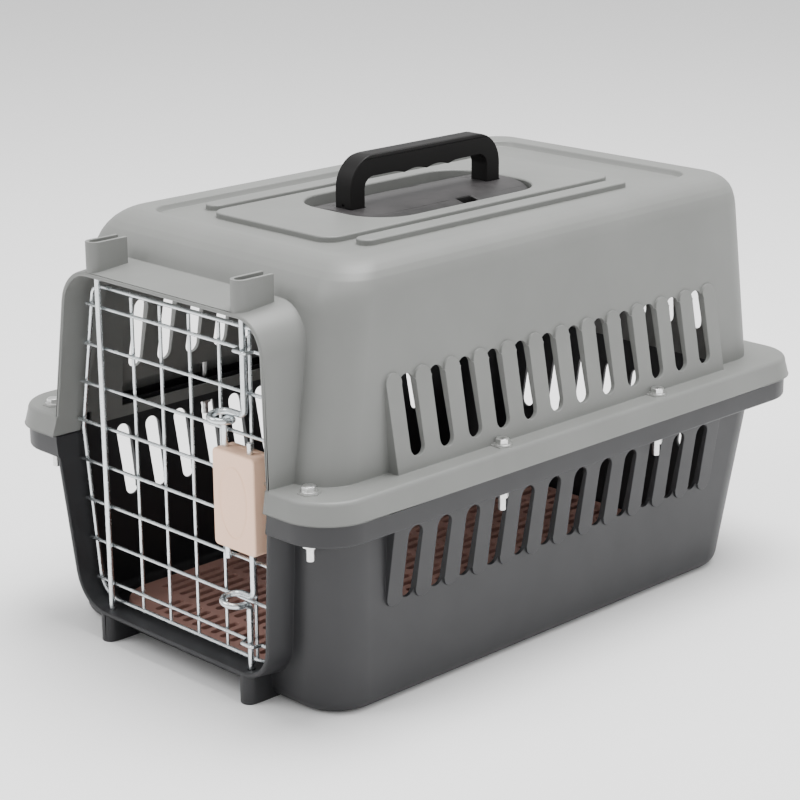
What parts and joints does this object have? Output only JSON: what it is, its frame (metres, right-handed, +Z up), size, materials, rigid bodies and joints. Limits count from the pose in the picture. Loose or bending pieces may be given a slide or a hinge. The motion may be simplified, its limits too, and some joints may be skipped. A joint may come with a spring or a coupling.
{
  "type": "pet transport carrier",
  "caption": "Two-shell plastic pet carrier bolted at a flange, with a wire door on a hinge rod, spring-loaded latch rods, vent slots, a slatted floor mat and a fold-down handle.",
  "frame": {"origin": "centre of the bounding box on the plane that the carrier stands on", "axes": "+Z up, +Y from the door to the rear, +X to the right when facing the rear; the door faces -Y"},
  "size_m": [0.32, 0.473, 0.316],
  "materials": {
    "shell_grey": "moulded polypropylene, fine satin texture",
    "shell_charcoal": "moulded polypropylene, fine satin texture",
    "mat_brown": "moulded polypropylene, matt",
    "handle_black": "moulded plastic, satin",
    "handle_pan_black": "moulded plastic, scuffed satin",
    "latch_beige": "moulded plastic, smooth satin",
    "zinc_wire": "bright zinc plated wire",
    "zinc_hardware": "bright zinc plated steel",
    "spring_steel": "spring steel"
  },
  "bodies": {
    "carrier": {"lower_shell": "shell_charcoal", "upper_shell": "shell_grey", "floor_mat": "mat_brown", "flange_bolts": "zinc_hardware", "flange_nuts": "zinc_hardware", "handle_base": "handle_pan_black", "handle_pins": "zinc_hardware"},
    "handle": {"handle": "handle_black"},
    "door": {"door_frame": "zinc_wire", "hinge_rod": "zinc_wire", "cross_wire_1": "zinc_wire", "cross_wire_2": "zinc_wire", "cross_wire_3": "zinc_wire", "cross_wire_4": "zinc_wire", "cross_wire_5": "zinc_wire", "cross_wire_6": "zinc_wire", "cross_wire_7": "zinc_wire", "cross_wire_8": "zinc_wire", "upright_wire_1": "zinc_wire", "upright_wire_2": "zinc_wire", "upright_wire_3": "zinc_wire", "upright_wire_4": "zinc_wire", "upright_wire_5": "zinc_wire", "latch_housing": "latch_beige", "latch_back": "latch_beige", "latch_screws": "zinc_hardware"},
    "upper_latch": {"upper_latch_rod": "zinc_wire", "upper_stop_ring": "spring_steel", "upper_spring": "spring_steel"},
    "lower_latch": {"lower_latch_rod": "zinc_wire", "lower_stop_ring": "spring_steel", "lower_spring": "spring_steel"}
  },
  "joints": [
    {"name": "door_hinge", "type": "hinge", "parent": "carrier", "child": "door", "pos_m": [-0.071, -0.2195, 0.138], "axis": [0, 0, -1], "range_deg": [0, 150]},
    {"name": "upper_latch_slide", "type": "slide", "parent": "door", "child": "upper_latch", "axis": [0, 0, -1], "range_m": [0, 0.012], "stiffness_N_per_m": 250, "springref_m": -0.01, "deforming": ["upper_spring"]},
    {"name": "lower_latch_slide", "type": "slide", "parent": "door", "child": "lower_latch", "axis": [0, 0, 1], "range_m": [0, 0.012], "stiffness_N_per_m": 250, "springref_m": -0.01, "deforming": ["lower_spring"]},
    {"name": "handle_fold", "type": "hinge", "parent": "carrier", "child": "handle", "pos_m": [0, 0.002, 0.279], "axis": [0, -1, 0], "range_deg": [0, 60]}
  ]
}
